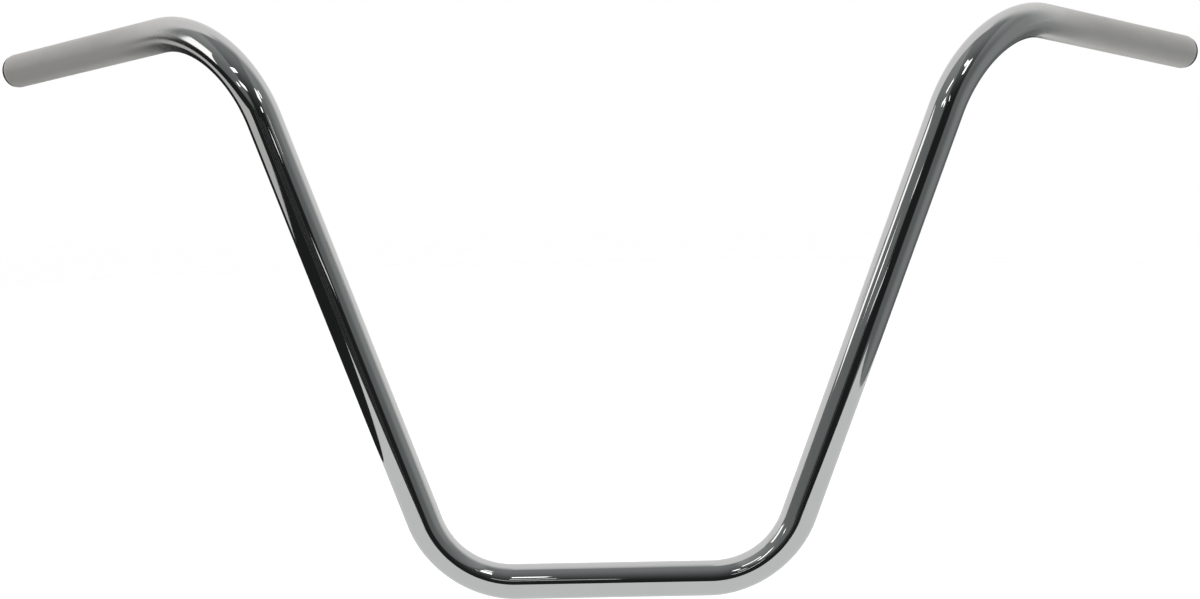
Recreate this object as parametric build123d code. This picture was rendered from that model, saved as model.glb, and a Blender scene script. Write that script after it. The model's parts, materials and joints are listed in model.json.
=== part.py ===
"""Ape-hanger motorcycle handlebar: one chromed steel tube, bent four times, with a push-in plug in each end.

Row frame, in millimetres: origin on the tube's axis at the middle of the clamp run, +X across the machine,
+Y towards the rider, +Z up, in the plane that holds the clamp run and both risers. Left and right are the
rider's, so the left hand's grip is on the +X side. The bar is the same on both sides of the plane X = 0.
"""

from build123d import *

import math
import os

# --- the bent tube ---------------------------------------------------------------------------------------
tube_diameter = 25.4  # one-inch bar
tube_wall = 3.0
clamp_run = 139.5  # straight length between the two lower bends
rise = 406.4  # sixteen inches, from the clamp run's axis up to the corner where riser and grip axes meet
riser_lean = 20.1  # degrees outwards from upright
lower_bend_radius = 69.0  # of the tube's axis
upper_bend_radius = 82.0  # of the tube's axis
grip_run = 189.0  # straight length that each hand grip slides onto
grip_pullback = 46.3  # degrees from straight across, towards the rider
grip_drop = 9.4  # degrees below level
end_rounding = 0.9  # on the outside edge of each cut end

# --- the end plugs ---------------------------------------------------------------------------------------
plug_head_step = 0.6  # how far the head's rim sits inside the tube's outside
plug_head_thickness = 3.2
plug_head_rounding = 0.9
plug_dimple_diameter = 6.0  # moulding-gate dimple in the middle of the head
plug_dimple_depth = 0.5
plug_stem_length = 19.0
plug_stem_wall = 1.8
plug_stem_chamfer = 1.0
plug_fin_count = 4
plug_fin_height = 1.5  # how far the fins stand out of the stem
plug_fin_thickness = 1.2
plug_fin_clearance = 0.05  # from the fins' tips to the tube's bore

bore_diameter = tube_diameter - 2 * tube_wall
plug_head_diameter = tube_diameter - 2 * plug_head_step
plug_fin_diameter = bore_diameter - 2 * plug_fin_clearance
plug_stem_diameter = plug_fin_diameter - 2 * plug_fin_height

# --- directions of the tube's axis on the +X side ----------------------------------------------------------
lean = math.radians(riser_lean)
pullback = math.radians(grip_pullback)
drop = math.radians(grip_drop)
across = Vector(1, 0, 0)
up_riser = Vector(math.sin(lean), 0, math.cos(lean))
out_grip = Vector(
    math.cos(drop) * math.cos(pullback),
    math.cos(drop) * math.sin(pullback),
    -math.sin(drop),
)


def corner_share(before, onward, radius):
    """Length that a bend of this radius takes off each of the two straight runs that meet at its corner."""
    half_turn = math.radians(before.get_angle(onward)) / 2
    return radius * math.tan(half_turn)


def tube_section(at):
    """The tube's ring-shaped section on a plane that the tube's axis passes through at right angles."""
    return at * (Circle(tube_diameter / 2) - Circle(bore_diameter / 2))


def straight_run(start, length):
    """A straight piece of tube that starts on a plane, and the plane at its far end."""
    return extrude(tube_section(start), length), start.offset(length)


def bend(start, onward, radius):
    """A bent piece of tube that starts on a plane and ends pointing onward, and the plane at its far end."""
    hinge_line = start.z_dir.cross(onward).normalized()
    centre = start.origin + hinge_line.cross(start.z_dir) * radius
    piece = revolve(tube_section(start), Axis(centre, hinge_line), start.z_dir.get_angle(onward))
    return piece, Plane(origin=centre - hinge_line.cross(onward) * radius, z_dir=onward)


def round_cut_end(grip, end):
    """The grip's tube with the outside edge of its cut end rounded."""
    cut_face = grip.faces().filter_by(GeomType.PLANE).sort_by_distance(end.origin)[0]
    return fillet(cut_face.outer_wire().edges(), end_rounding)


def half_tube():
    """The tube from the middle of the clamp run out to the +X end, and the plane of that end."""
    riser_run = (
        rise / math.cos(lean)
        - corner_share(across, up_riser, lower_bend_radius)
        - corner_share(up_riser, out_grip, upper_bend_radius)
    )
    half_clamp_run, station = straight_run(Plane(origin=(0, 0, 0), z_dir=across), clamp_run / 2)
    lower_bend, station = bend(station, up_riser, lower_bend_radius)
    riser, station = straight_run(station, riser_run)
    upper_bend, station = bend(station, out_grip, upper_bend_radius)
    grip, station = straight_run(station, grip_run)
    return half_clamp_run + lower_bend + riser + upper_bend + round_cut_end(grip, station), station


def plug_head():
    """The flat round head, seated on the plane Z = 0, with a rounded rim and a dimple."""
    head = extrude(Circle(plug_head_diameter / 2), plug_head_thickness)
    head = fillet(head.edges().group_by(Axis.Z)[-1], plug_head_rounding)
    dimple = extrude(Circle(plug_dimple_diameter / 2), plug_dimple_depth)
    return head - Pos(0, 0, plug_head_thickness - plug_dimple_depth) * dimple


def plug_stem():
    """The hollow stem below the plane Z = 0, open at its nose, with thin fins that grip the bore."""
    stem = extrude(Circle(plug_stem_diameter / 2), -plug_stem_length)
    stem = chamfer(stem.edges().group_by(Axis.Z)[0], plug_stem_chamfer)
    fin_pitch = plug_stem_length / (plug_fin_count + 1)
    for number in range(1, plug_fin_count + 1):
        fin = extrude(Circle(plug_fin_diameter / 2), plug_fin_thickness / 2, both=True)
        stem += Pos(0, 0, -number * fin_pitch) * fin
    return stem - extrude(Circle(plug_stem_diameter / 2 - plug_stem_wall), -plug_stem_length)


os.makedirs("parts", exist_ok=True)
half, grip_end = half_tube()
left_plug = grip_end * (plug_head() + plug_stem())
pieces = {
    "handlebar_tube": half + mirror(half, Plane.YZ),
    "left_end_plug": left_plug,
    "right_end_plug": mirror(left_plug, Plane.YZ),
}
for name, piece in pieces.items():
    export_step(piece.solid(), f"parts/{name}.step")
print("middle of the left cut end", grip_end.origin, "pointing along", grip_end.z_dir)
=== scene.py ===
"""Looks for a chromed ape-hanger motorcycle handlebar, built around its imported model. Metres throughout.

The bar is one bent tube with a plug pushed into each end. It stays still, so every piece rides on the root.
"""

import json
import math

import bpy
from mathutils import Matrix, Quaternion, Vector


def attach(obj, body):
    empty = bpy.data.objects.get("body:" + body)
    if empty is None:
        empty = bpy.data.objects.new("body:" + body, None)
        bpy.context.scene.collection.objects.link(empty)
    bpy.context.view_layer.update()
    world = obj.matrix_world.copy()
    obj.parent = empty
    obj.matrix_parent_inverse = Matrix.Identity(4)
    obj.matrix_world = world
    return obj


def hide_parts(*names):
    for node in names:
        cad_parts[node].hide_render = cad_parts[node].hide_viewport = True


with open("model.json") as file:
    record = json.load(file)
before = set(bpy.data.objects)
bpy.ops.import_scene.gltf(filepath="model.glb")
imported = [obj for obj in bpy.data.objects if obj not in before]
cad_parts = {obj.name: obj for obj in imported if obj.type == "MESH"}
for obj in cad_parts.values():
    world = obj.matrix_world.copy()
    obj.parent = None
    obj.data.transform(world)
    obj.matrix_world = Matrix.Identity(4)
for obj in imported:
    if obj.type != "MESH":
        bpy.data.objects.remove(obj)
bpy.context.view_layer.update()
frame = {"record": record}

# --- Camera ----------------------------------------------------------------------------------------------
# A long lens stands just over two metres in front of the bar, a little above the risers, and is turned
# slightly, so that the clamp run climbs to the right by under one degree.

camera_aim = Vector((-0.00615, 0.0, 0.20375))
camera_distance = 2.1353
camera_yaw = 0.0115
camera_pitch = -0.1303
camera_roll = -0.0160
camera_focal_length = 90.0  # millimetres, as is the sensor's width
camera_sensor_width = 36.0

view_way = Vector((math.sin(camera_yaw), math.cos(camera_yaw), 0)) * math.cos(camera_pitch)
view_way.z = math.sin(camera_pitch)
camera_turn = view_way.to_track_quat("-Z", "Y") @ Quaternion((0, 0, 1), camera_roll)
camera_place = camera_aim - view_way * camera_distance

camera_data = bpy.data.cameras.new("camera")
camera_data.lens = camera_focal_length
camera_data.sensor_width = camera_sensor_width
camera = bpy.data.objects.new("camera", camera_data)
camera.matrix_world = Matrix.Translation(camera_place) @ camera_turn.to_matrix().to_4x4()
bpy.context.scene.collection.objects.link(camera)
bpy.context.scene.camera = camera

# --- Bent tube -------------------------------------------------------------------------------------------
# One length of one-inch steel tube, bent four times on a mandrel, then polished and chromed. The plating is
# a mirror up to the top bends and blends into a fine satin on the two runs that the grips slide onto.

seats = {mount["name"]: mount for mount in frame["record"]["mounts"]}
tube_radius = seats["clamp_seat"]["dims"]["r_mm"] / 1000
tube_wall = 0.003
half_clamp_run = seats["clamp_seat"]["dims"]["length_mm"] / 2000
grip_run = 0.189
riser_lean = math.radians(20.1)
lower_bend_radius = 0.069
upper_bend_radius = 0.082
end_rounding = 0.0009
end_rounding_steps = 6
tube_sides = 112
tube_crease = math.radians(40)
arc_step = math.radians(1.6)  # turn between neighbouring rings in a bend
run_step = 0.015  # distance between neighbouring rings in a straight run
bend_flattening = 0.3  # how much of the tube's size against the bend's size shows as flattening
flattening_gather = 1.4  # over 1 gathers the flattening towards the middle of the bend
sideways_bulge = 0.5  # how much of what the tube loses in the bend's plane it gains across it
weld_distance = 1e-6  # joins the two halves in the middle of the clamp run

across = Vector((1, 0, 0))
riser_way = Vector((math.sin(riser_lean), 0, math.cos(riser_lean)))
grip_way = Vector(seats["left_grip_seat"]["axis"]).normalized()
grip_middle = Vector(seats["left_grip_seat"]["pos_m"])
top_corner = grip_middle - grip_way * (grip_middle.y / grip_way.y)
riser_run = (
    top_corner.z / riser_way.z
    - lower_bend_radius * math.tan(across.angle(riser_way) / 2)
    - upper_bend_radius * math.tan(riser_way.angle(grip_way) / 2)
)


class Ring:
    """A cross-section of the tube: its centre, the axis's direction, its distance along and its flatness."""

    def __init__(self, centre, way, along, inwards=None, flatness=0.0):
        self.centre = centre
        self.way = way
        self.along = along
        self.inwards = inwards  # towards the bend's centre
        self.flatness = flatness


def run_rings(start, length):
    """Rings along a straight run, after the ring that it starts from."""
    steps = math.ceil(length / run_step)
    gone = [length * step / steps for step in range(1, steps + 1)]
    return [Ring(start.centre + start.way * far, start.way, start.along + far) for far in gone]


def bend_rings(start, onward, radius):
    """Rings round a bend, after the ring that it starts from, to one that points onward."""
    hinge = start.way.cross(onward).normalized()
    middle = start.centre + hinge.cross(start.way) * radius
    whole_turn = start.way.angle(onward)
    most_flatness = bend_flattening * tube_radius / radius
    steps = math.ceil(whole_turn / arc_step)
    rings = []
    for step in range(1, steps + 1):
        share = step / steps
        way = Quaternion(hinge, whole_turn * share) @ start.way
        inwards = hinge.cross(way)
        along = start.along + radius * whole_turn * share
        flatness = most_flatness * math.sin(math.pi * share) ** flattening_gather
        rings.append(Ring(middle - inwards * radius, way, along, inwards, flatness))
    return rings


rings = [Ring(Vector((0, 0, 0)), across, 0.0)]
rings += run_rings(rings[-1], half_clamp_run)
rings += bend_rings(rings[-1], riser_way, lower_bend_radius)
rings += run_rings(rings[-1], riser_run)
top_bend_start = rings[-1].along
rings += bend_rings(rings[-1], grip_way, upper_bend_radius)
top_bend_end = rings[-1].along
rings += run_rings(rings[-1], grip_run - end_rounding)
cut_end = rings[-1].centre + grip_way * end_rounding
tube_end = rings[-1].along + end_rounding


def skin_profile():
    """Pairs of a ring and a radius, out along the outside, round the cut end and back along the bore."""
    pairs = [(ring, tube_radius) for ring in rings]
    last = rings[-1]
    for step in range(1, end_rounding_steps + 1):
        turn = math.pi / 2 * step / end_rounding_steps
        ahead = end_rounding * math.sin(turn)
        ring = Ring(last.centre + last.way * ahead, last.way, last.along + ahead)
        pairs.append((ring, tube_radius - end_rounding * (1 - math.cos(turn))))
    bore_radius = tube_radius - tube_wall
    pairs.append((pairs[-1][0], bore_radius))
    pairs += [(ring, bore_radius) for ring in reversed(rings)]
    return pairs


def half_tube_mesh():
    """The tube's +X half. Its attribute straight_tube keeps each point's place on the unbent tube."""
    points = []
    straight_places = []
    side_way = Vector((0, 1, 0))
    before = across
    for ring, radius in skin_profile():
        side_way = before.rotation_difference(ring.way) @ side_way
        before = ring.way
        up_way = ring.way.cross(side_way)
        for side in range(tube_sides):
            angle = math.tau * side / tube_sides
            arm = (side_way * math.cos(angle) + up_way * math.sin(angle)) * radius
            straight_places.append((radius * math.cos(angle), radius * math.sin(angle), ring.along))
            if ring.inwards is not None:
                towards = ring.inwards * arm.dot(ring.inwards)
                arm += (arm - towards) * ring.flatness * sideways_bulge - towards * ring.flatness
            points.append(ring.centre + arm)
    faces = []
    for first in range(0, len(points) - tube_sides, tube_sides):
        for side in range(tube_sides):
            following = (side + 1) % tube_sides
            corners = (side, following, following + tube_sides, side + tube_sides)
            faces.append([first + corner for corner in corners])
    mesh = bpy.data.meshes.new("half_tube")
    mesh.from_pydata(points, [], faces)
    straight = mesh.attributes.new("straight_tube", "FLOAT_VECTOR", "POINT")
    for number, place in enumerate(straight_places):
        straight.data[number].vector = place
    return mesh


def mirrored(piece):
    """Give the piece its other half, welded to the first in the plane X = 0."""
    mirror = piece.modifiers.new("mirror", "MIRROR")
    mirror.use_axis = (True, False, False)
    mirror.merge_threshold = weld_distance
    graph = bpy.context.evaluated_depsgraph_get()
    mesh = bpy.data.meshes.new_from_object(
        piece.evaluated_get(graph), preserve_all_data_layers=True, depsgraph=graph
    )
    piece.modifiers.remove(mirror)
    piece.data = mesh


def smoothed(piece, crease):
    """Smooth shading everywhere but over edges sharper than crease."""
    piece.data.shade_smooth()
    piece.data.set_sharp_from_angle(angle=crease)


bent_tube = bpy.data.objects.new("bent_tube", half_tube_mesh())
bpy.context.scene.collection.objects.link(bent_tube)
mirrored(bent_tube)
smoothed(bent_tube, tube_crease)


class Nodes:
    """A node tree, and short ways to add the nodes used here."""

    def __init__(self, tree):
        self.tree = tree

    def node(self, kind, inputs=(), **settings):
        """A node with its settings, and its inputs set to values or joined to other nodes' sockets."""
        node = self.tree.nodes.new(kind)
        for setting, value in settings.items():
            setattr(node, setting, value)
        for socket, value in dict(inputs).items():
            self.join(value, node.inputs[socket])
        return node

    def join(self, value, socket):
        """Feed a socket from another node's socket, or set it to a plain value."""
        if isinstance(value, bpy.types.NodeSocket):
            self.tree.links.new(value, socket)
        else:
            socket.default_value = value

    def maths(self, operation, first, second=0.0, third=0.0):
        """The result of a sum on one, two or three numbers."""
        inputs = {0: first, 1: second, 2: third}
        return self.node("ShaderNodeMath", inputs, operation=operation).outputs[0]

    def rise(self, value, low, high, to_low=0.0, to_high=1.0):
        """A number that goes smoothly from to_low to to_high while value goes from low to high."""
        inputs = {"Value": value, "From Min": low, "From Max": high, "To Min": to_low, "To Max": to_high}
        return self.node("ShaderNodeMapRange", inputs, interpolation_type="SMOOTHSTEP").outputs["Result"]


class Finish(Nodes):
    """A material being built. Its surface shader's plain settings are given by their sockets' names."""

    def __init__(self, name, **surface):
        self.material = bpy.data.materials.new(name)
        self.material.use_nodes = True
        super().__init__(self.material.node_tree)
        self.sockets = self.tree.nodes["Principled BSDF"].inputs
        for socket, value in surface.items():
            self.sockets[socket.replace("_", " ")].default_value = value

    def tint(self, share, first, second):
        """A colour between first and second."""
        node = self.node("ShaderNodeMix", {0: share}, data_type="RGBA")
        self.join(first, node.inputs[6])
        self.join(second, node.inputs[7])
        return node.outputs[2]

    def grain(self, place, per_metre, detail=2.0, squeeze=(1, 1, 1)):
        """Cloudy noise from 0 to 1. A squeeze under 1 along an axis draws the clouds out that way."""
        squeezed = self.node("ShaderNodeVectorMath", {0: place, 1: squeeze}, operation="MULTIPLY")
        inputs = {"Vector": squeezed.outputs[0], "Scale": per_metre, "Detail": detail}
        return self.node("ShaderNodeTexNoise", inputs).outputs["Fac"]

    def relief(self, height, depth, under=None):
        """A bump whose height goes from 0 to depth metres."""
        inputs = {"Height": height, "Distance": depth, "Strength": 1.0}
        if under is not None:
            inputs["Normal"] = under
        return self.node("ShaderNodeBump", inputs).outputs["Normal"]


mirror_dark = (0.555, 0.56, 0.56, 1)
mirror_light = (0.60, 0.603, 0.60, 1)
mirror_roughness = (0.025, 0.075)  # where it is wiped clean, and in the haze
satin_dark = (0.55, 0.538, 0.52, 1)
satin_light = (0.60, 0.588, 0.57, 1)
satin_roughness = (0.56, 0.62)  # between and in the blasted patches
satin_metal = 0.6  # the rest of the satin scatters light as a dull surface does
satin_lead = 0.008  # the satin begins this far before the middle of the top bend
satin_reach = 0.140  # and is full this far after it
border_raggedness = 0.02
rim_highlight_colour = (0.66, 0.65, 0.63, 1)  # painted highlight: a lighter rim on the rounded cut end
rim_highlight_from = 0.0035  # from the cut end
rim_highlight_to = 0.0008
belt_ripple = 0.00010
hairline_depth = 0.0000012
satin_tooth = 0.00003


def plated_chrome():
    """Mirror chrome that blends into satin from the middle of each top bend to well along the grip run."""
    finish = Finish("plated_chrome")
    place = finish.node("ShaderNodeAttribute", attribute_name="straight_tube").outputs["Vector"]
    along = finish.node("ShaderNodeSeparateXYZ", {0: place}).outputs["Z"]

    # where the mirror ends and the satin begins, with a ragged, hand-blended border
    border = finish.grain(place, per_metre=60.0, detail=3.0)
    ragged = finish.maths("MULTIPLY_ADD", border, border_raggedness, along)
    bend_middle = (top_bend_start + top_bend_end) / 2
    satin = finish.rise(ragged, bend_middle - satin_lead, bend_middle + satin_reach)

    # colour: a cool mirror, a warmer satin, faint clouding in both, and a painted highlight on the rounded
    # cut end
    clouds = finish.grain(place, per_metre=38.0, detail=4.0)
    mirror_colour = finish.tint(clouds, mirror_dark, mirror_light)
    satin_colour = finish.tint(clouds, satin_dark, satin_light)
    # painted highlight: the satin turns lighter over the last few millimetres, round the cut end
    rim_highlight = finish.rise(along, tube_end - rim_highlight_from, tube_end - rim_highlight_to)
    satin_colour = finish.tint(rim_highlight, satin_colour, rim_highlight_colour)
    finish.join(finish.tint(satin, mirror_colour, satin_colour), finish.sockets["Base Color"])

    # roughness: a wiped mirror with thin haze, and an even satin with blasted patches
    wipes = finish.grain(place, per_metre=55.0, detail=5.0, squeeze=(1, 1, 0.25))
    haze = finish.rise(wipes, 0.35, 0.8, *mirror_roughness)
    patches = finish.grain(place, per_metre=160.0, detail=3.0)
    blasting = finish.rise(patches, 0.25, 0.75, *satin_roughness)
    finish.join(finish.rise(satin, 0.0, 1.0, 1.0, satin_metal), finish.sockets["Metallic"])
    difference = finish.maths("SUBTRACT", blasting, haze)
    roughness = finish.maths("MULTIPLY_ADD", difference, satin, haze)
    finish.join(roughness, finish.sockets["Roughness"])

    # relief: a slow ripple left by the polishing belt, hairlines round the tube, and the satin's fine tooth
    ripple = finish.grain(place, per_metre=26.0, detail=1.0, squeeze=(1, 1, 0.35))
    surface = finish.relief(ripple, belt_ripple)
    hairlines = finish.grain(place, per_metre=900.0, squeeze=(0.05, 0.05, 1))
    surface = finish.relief(hairlines, hairline_depth, surface)
    full_satin = finish.rise(satin, 0.45, 1.0)
    fine_grain = finish.grain(place, per_metre=2600.0, detail=3.0, squeeze=(0.6, 0.6, 1))
    tooth = finish.maths("MULTIPLY", fine_grain, full_satin)
    surface = finish.relief(tooth, satin_tooth, surface)
    finish.join(surface, finish.sockets["Normal"])
    return finish.material


bent_tube.data.materials.clear()
bent_tube.data.materials.append(plated_chrome())
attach(bent_tube, "root")
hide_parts("handlebar_tube")

# --- End plugs -------------------------------------------------------------------------------------------
# A push-in plug of black moulded plastic closes each end. Its thin crowned head rests on the cut face, and
# the fins on its hollow stem hold it in the bore.

head_step = 0.0006  # how far the head's rim sits inside the tube's outside
head_edge = 0.0009  # radius of the head's rounded rim
head_edge_steps = 8
head_crown = 0.0003  # how much higher the head is in the middle than at the rim
head_crown_steps = 8
head_thickness = 0.0032
dimple_radius = 0.0030
dimple_depth = 0.0005
dimple_floor_share = 0.8  # of its radius that is flat
dimple_slope_share = 0.95  # of its radius, where its side steepens
dimple_slope_depth_share = 0.7
stem_length = 0.019
stem_wall = 0.0018
stem_chamfer = 0.001
fin_count = 4
fin_height = 0.0015
fin_thickness = 0.0012
fin_clearance = 0.00005
plug_sides = 96
plug_crease = math.radians(35)

head_radius = tube_radius - head_step
fin_radius = tube_radius - tube_wall - fin_clearance
stem_radius = fin_radius - fin_height


def plug_outline():
    """The plug's half section in pairs of radius and height, from the dimple out and down to the cavity."""
    rim = head_thickness - head_crown
    outline = [
        (0.0, head_thickness - dimple_depth),
        (dimple_radius * dimple_floor_share, head_thickness - dimple_depth),
        (dimple_radius * dimple_slope_share, head_thickness - dimple_depth * dimple_slope_depth_share),
    ]
    for step in range(head_crown_steps + 1):
        radius = dimple_radius + (head_radius - head_edge - dimple_radius) * step / head_crown_steps
        outline.append((radius, rim + head_crown * (1 - (radius / head_radius) ** 2)))
    for step in range(1, head_edge_steps + 1):
        turn = math.pi / 2 * step / head_edge_steps
        inside = head_edge * (1 - math.sin(turn))
        outline.append((head_radius - inside, rim - head_edge * (1 - math.cos(turn))))
    outline += [(head_radius, 0.0), (stem_radius, 0.0)]
    fin_pitch = stem_length / (fin_count + 1)
    for number in range(1, fin_count + 1):
        top = fin_thickness / 2 - number * fin_pitch
        bottom = top - fin_thickness
        outline += [(stem_radius, top), (fin_radius, top), (fin_radius, bottom), (stem_radius, bottom)]
    cavity_radius = stem_radius - stem_wall
    outline += [(stem_radius, stem_chamfer - stem_length), (stem_radius - stem_chamfer, -stem_length)]
    outline += [(cavity_radius, -stem_length), (cavity_radius, -stem_wall), (0.0, -stem_wall)]
    return outline


def turned_mesh(name, outline, sides):
    """A closed mesh made by turning an outline about Z. Its first and last points lie on the axis."""
    points = [(0, 0, outline[0][1]), (0, 0, outline[-1][1])]
    for radius, height in outline[1:-1]:
        angles = [math.tau * side / sides for side in range(sides)]
        points += [(radius * math.cos(angle), radius * math.sin(angle), height) for angle in angles]
    faces = []
    last_ring = len(points) - sides
    for side in range(sides):
        following = (side + 1) % sides
        faces.append((0, 2 + side, 2 + following))
        faces.append((1, last_ring + following, last_ring + side))
        for first in range(2, last_ring, sides):
            faces.append((first + side, first + sides + side, first + sides + following, first + following))
    mesh = bpy.data.meshes.new(name)
    mesh.from_pydata(points, [], faces)
    return mesh


clean_black = (0.012, 0.012, 0.013, 1)
dusty_black = (0.032, 0.031, 0.030, 1)
plastic_roughness = (0.42, 0.58)
mould_grain_depth = 0.00004


def moulded_plastic():
    """Matt black plastic with the fine spark-eroded grain of its mould, and a little dust."""
    finish = Finish("moulded_plastic", IOR=1.49, Specular_IOR_Level=0.2)
    place = finish.node("ShaderNodeTexCoord").outputs["Object"]
    dust = finish.rise(finish.grain(place, per_metre=420.0, detail=4.0), 0.5, 0.85)
    finish.join(finish.tint(dust, clean_black, dusty_black), finish.sockets["Base Color"])
    mottle = finish.grain(place, per_metre=900.0, detail=3.0)
    finish.join(finish.rise(mottle, 0.2, 0.8, *plastic_roughness), finish.sockets["Roughness"])
    surface = finish.relief(finish.grain(place, per_metre=3800.0), mould_grain_depth)
    finish.join(surface, finish.sockets["Normal"])
    return finish.material


plug_plastic = moulded_plastic()
for side_name, flip in (("left", 1), ("right", -1)):
    name = f"{side_name}_plug"
    plug = bpy.data.objects.new(name, turned_mesh(name, plug_outline(), plug_sides))
    bpy.context.scene.collection.objects.link(plug)
    out_of_end = Vector((flip * grip_way.x, grip_way.y, grip_way.z))
    end_place = Vector((flip * cut_end.x, cut_end.y, cut_end.z))
    plug_turn = out_of_end.to_track_quat("Z", "Y").to_matrix().to_4x4()
    plug.data.transform(Matrix.Translation(end_place) @ plug_turn)
    smoothed(plug, plug_crease)
    plug.data.materials.append(plug_plastic)
    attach(plug, "root")
    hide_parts(f"{side_name}_end_plug")

# --- Floor and table -------------------------------------------------------------------------------------
# A round pale floor that fades out into the white backdrop. The chrome mirrors two glowing boards that lie
# in its place: a white table under the bar, and a strip of grey ground to the left of it.

floor_height = -0.115
floor_radius = 6.0
floor_points = 64
floor_colour = (0.86, 0.86, 0.855, 1)
floor_glow = 0.35
floor_fade = (0.9, 4.0)  # distances from the middle where the floor begins and ends its fading out
table_corners = [(-0.70, -0.72), (0.70, -0.72), (0.66, 0.95), (-0.38, 0.95)]
table_colour = (0.99, 1.0, 1.0)
table_glow = 0.82
ground_corners = [(-1.75, -1.00), (-1.22, -0.62), (-1.02, 0.42), (-1.75, 0.62)]
ground_colour = (1.0, 1.0, 0.98)
ground_glow = 0.66


def panel(name, corners, material):
    """A flat stage panel through these corners."""
    mesh = bpy.data.meshes.new(name)
    mesh.from_pydata([tuple(corner) for corner in corners], [], [list(range(len(corners)))])
    mesh.materials.append(material)
    board = bpy.data.objects.new(name, mesh)
    bpy.context.scene.collection.objects.link(board)
    return board


def glow(name, colour, strength):
    """A material that only gives off light."""
    material = bpy.data.materials.new(name)
    material.use_nodes = True
    nodes = material.node_tree.nodes
    nodes.remove(nodes["Principled BSDF"])
    lamp = nodes.new("ShaderNodeEmission")
    lamp.inputs["Color"].default_value = (*colour, 1)
    lamp.inputs["Strength"].default_value = strength
    material.node_tree.links.new(lamp.outputs[0], nodes["Material Output"].inputs["Surface"])
    return material


def mirrored_board(name, corners, colour, strength):
    """A glowing board that the chrome shows and the camera doesn't, and that throws no shadow."""
    board = panel(name, corners, glow(name, colour, strength))
    board.visible_camera = False
    board.visible_shadow = False
    board.visible_diffuse = False


def painted_floor():
    """Pale paint, lit a little from within, whose edge fades out into the backdrop."""
    finish = Finish(
        "painted_floor",
        Roughness=0.6,
        Base_Color=floor_colour,
        Emission_Color=(1, 1, 1, 1),
        Emission_Strength=floor_glow,
    )
    place = finish.node("ShaderNodeTexCoord").outputs["Object"]
    from_middle = finish.node("ShaderNodeVectorMath", {0: place}, operation="LENGTH").outputs["Value"]
    finish.join(finish.rise(from_middle, *floor_fade, 1.0, 0.0), finish.sockets["Alpha"])
    return finish.material


turns = [math.tau * number / floor_points for number in range(floor_points)]
floor_rim = [(floor_radius * math.cos(turn), floor_radius * math.sin(turn), floor_height) for turn in turns]
floor = panel("floor", floor_rim, painted_floor())
floor.visible_glossy = False

mirrored_board("table", [(x, y, floor_height) for x, y in table_corners], table_colour, table_glow)
mirrored_board("ground", [(x, y, floor_height) for x, y in ground_corners], ground_colour, ground_glow)

# --- Softboxes -------------------------------------------------------------------------------------------
# The bright shapes in the chrome: a window, softboxes and slits of light round the camera, each placed as
# it is seen from a top bend or from the clamp run, and the four dim posts of a shelf.

box_colour = (1.0, 1.0, 0.985)
full_strength = 2.6
left_view = Vector((-0.25, 0.0, 0.36))
right_view = Vector((0.25, 0.0, 0.36))
middle_view = Vector((0.0, 0.0, 0.0))

# name, seen from, bearing, rise, distance, width, height, lean, strength
softboxes = (
    ("left_window", left_view, -72.5, 17, 0.60, 0.22, 0.30, 20, 1.7),
    ("left_high_box", left_view, -20, 36, 1.50, 0.42, 0.13, -37, full_strength),
    ("left_low_box", left_view, -20, 18.5, 1.50, 0.34, 0.13, -10, full_strength),
    ("left_small_box", left_view, -38, 8, 1.50, 0.14, 0.08, -20, full_strength),
    ("front_box", left_view, 32, 31, 1.32, 0.17, 0.30, 30, full_strength),
    ("right_high_box", right_view, -6, 45, 0.60, 0.11, 0.06, 42, full_strength),
    ("right_slit", right_view, -10, 10, 0.60, 0.012, 0.10, -39, full_strength),
    ("upper_slit", middle_view, -7.0, 38, 0.80, 0.05, 0.07, 0, full_strength),
    ("middle_slit", middle_view, -5.5, 26, 0.80, 0.05, 0.03, 0, 1.6),
    ("lower_slit", middle_view, -3.5, 16, 0.80, 0.13, 0.025, 0, 1.2),
)
post_bearings = (-36, -27, -17, -9)
post_rise = -2
post_distance = 1.90
post_width = 0.03
post_height = 0.70
post_strength = 0.22


def softbox(name, seen_from, bearing, rise, distance, width, height, lean, strength):
    """A glowing rectangle at a bearing and a rise from a point on the bar, in degrees, turned to face it.

    Bearing 0 is straight towards the camera's side, and a bearing grows towards +X. The rectangle's top
    leans to a larger bearing by lean degrees.
    """
    flat = Vector((math.sin(math.radians(bearing)), -math.cos(math.radians(bearing)), 0))
    way = flat * math.cos(math.radians(rise))
    way.z = math.sin(math.radians(rise))
    turn = (-way).to_track_quat("Z", "Y") @ Quaternion((0, 0, 1), math.radians(lean))
    reach = ((-width, -height), (width, -height), (width, height), (-width, height))
    corners = [seen_from + way * distance + turn @ Vector((x / 2, y / 2, 0)) for x, y in reach]
    mirrored_board(name, corners, box_colour, strength)


for row in softboxes:
    softbox(*row)
for number, bearing in enumerate(post_bearings):
    post_name = f"shelf_post_{number}"
    softbox(
        post_name, middle_view, bearing, post_rise, post_distance, post_width, post_height, 0, post_strength
    )

# --- Overhead lamp ---------------------------------------------------------------------------------------
# One large round lamp hangs high over the bar and gives the soft, even light. The chrome doesn't show it.

lamp_place = (0.3, 0.2, 3.0)
lamp_size = 3.5
lamp_watts = 60.0

lamp = bpy.data.lights.new("overhead", "AREA")
lamp.shape = "DISK"
lamp.size = lamp_size
lamp.energy = lamp_watts
overhead = bpy.data.objects.new("overhead", lamp)
overhead.location = lamp_place
overhead.visible_glossy = False
overhead.visible_camera = False
bpy.context.scene.collection.objects.link(overhead)

# --- Room ------------------------------------------------------------------------------------------------
# The bar is seen against plain white. What the chrome mirrors is a dim room on the camera's side, with a
# ceiling and a wall on each hand, and a bright backdrop behind the bar.

backdrop_light = 0.90
ceiling_light = 0.26  # straight overhead
ceiling_dimmest = 0.02  # level with the bar, and below it
left_wall_light = 0.17
right_wall_light = 0.15
right_corner_light = 0.15  # added straight to the right
red_share = 0.93  # of the other colours in the dark, which makes the shadows cool
red_gain = 0.09  # added to it as the light grows


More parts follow.
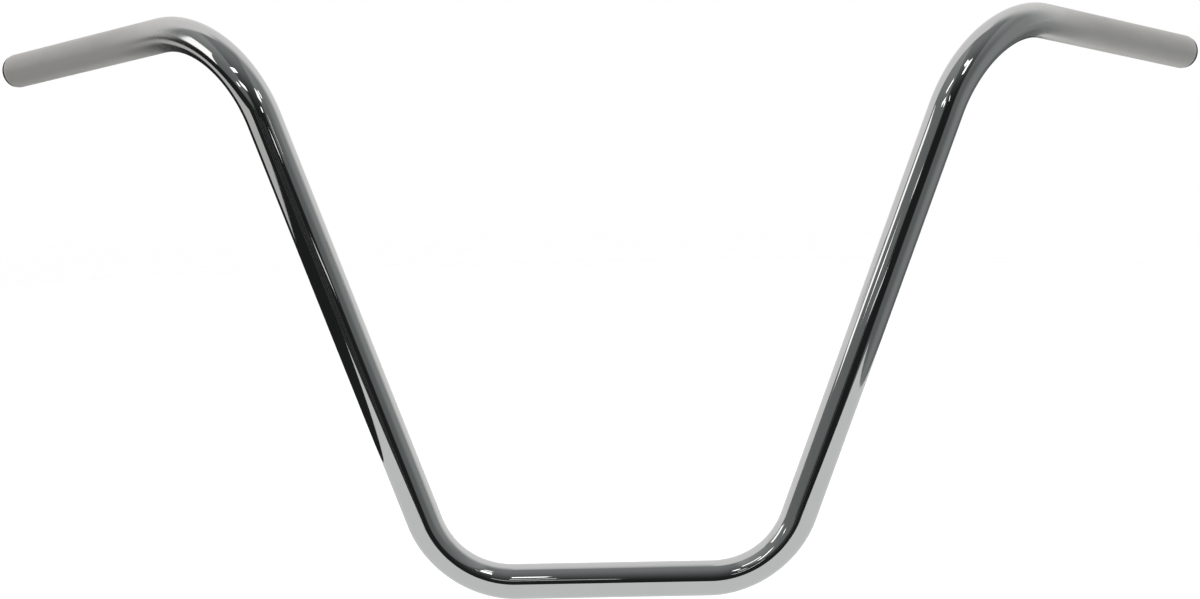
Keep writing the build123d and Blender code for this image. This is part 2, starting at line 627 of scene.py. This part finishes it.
class Room(Nodes):
    """The world's nodes."""

    def blend(self, share, first, second):
        """A number between first and second."""
        return self.node("ShaderNodeMix", {0: share, 2: first, 3: second}, data_type="FLOAT").outputs[0]


world = bpy.data.worlds.new("room")
bpy.context.scene.world = world
world.use_nodes = True
room = Room(world.node_tree)

# how far a direction goes to the right, to the back and upwards, each from -1 to 1
direction = room.node("ShaderNodeTexCoord").outputs["Generated"]
parts = room.node("ShaderNodeSeparateXYZ", {0: direction})
to_right, to_back, to_top = parts.outputs[0], parts.outputs[1], parts.outputs[2]

# the dim room
upwards = room.maths("MAXIMUM", to_top, 0.0)
steepness = room.maths("MULTIPLY", upwards, upwards)
ceiling = room.maths("MULTIPLY_ADD", steepness, ceiling_light, ceiling_dimmest)
left_light = room.rise(to_right, -0.26, -0.40, 0.0, left_wall_light)
left_wall = room.maths("MULTIPLY", left_light, room.rise(to_top, -0.06, 0.04))
right_light = room.rise(to_right, 0.34, 0.46, 0.0, right_wall_light)
right_wall = room.maths("ADD", right_light, room.rise(to_right, 0.7, 0.98, 0.0, right_corner_light))
walls = room.maths("ADD", ceiling, room.maths("ADD", left_wall, right_wall))

# the backdrop, with a crisp edge on the left, a soft one on the right, and its foot just below the bar
left_backdrop = room.rise(to_back, 0.02, 0.14)
right_backdrop = room.rise(to_back, -0.05, 0.50)
on_right = room.rise(to_right, -0.1, 0.1)
backdrop = room.blend(on_right, left_backdrop, right_backdrop)
backdrop = room.maths("MULTIPLY", backdrop, room.rise(to_top, -0.14, -0.10))
brightness = room.blend(backdrop, walls, backdrop_light)

# cool shadows and a neutral backdrop
tone = room.node("ShaderNodeCombineColor")
warmth = room.maths("MULTIPLY_ADD", brightness, red_gain, red_share)
room.join(room.maths("MULTIPLY", brightness, warmth), tone.inputs[0])
room.join(brightness, tone.inputs[1])
room.join(brightness, tone.inputs[2])
mirrored_room = world.node_tree.nodes["Background"]
room.join(tone.outputs[0], mirrored_room.inputs["Color"])

# the camera itself sees plain white
white = room.node("ShaderNodeBackground", {"Color": (1, 1, 1, 1), "Strength": 1.0})
seen = room.node("ShaderNodeLightPath").outputs["Is Camera Ray"]
both = room.node("ShaderNodeMixShader", {0: seen, 1: mirrored_room.outputs[0], 2: white.outputs[0]})
room.join(both.outputs[0], world.node_tree.nodes["World Output"].inputs["Surface"])

bpy.context.scene.view_settings.view_transform = "Standard"
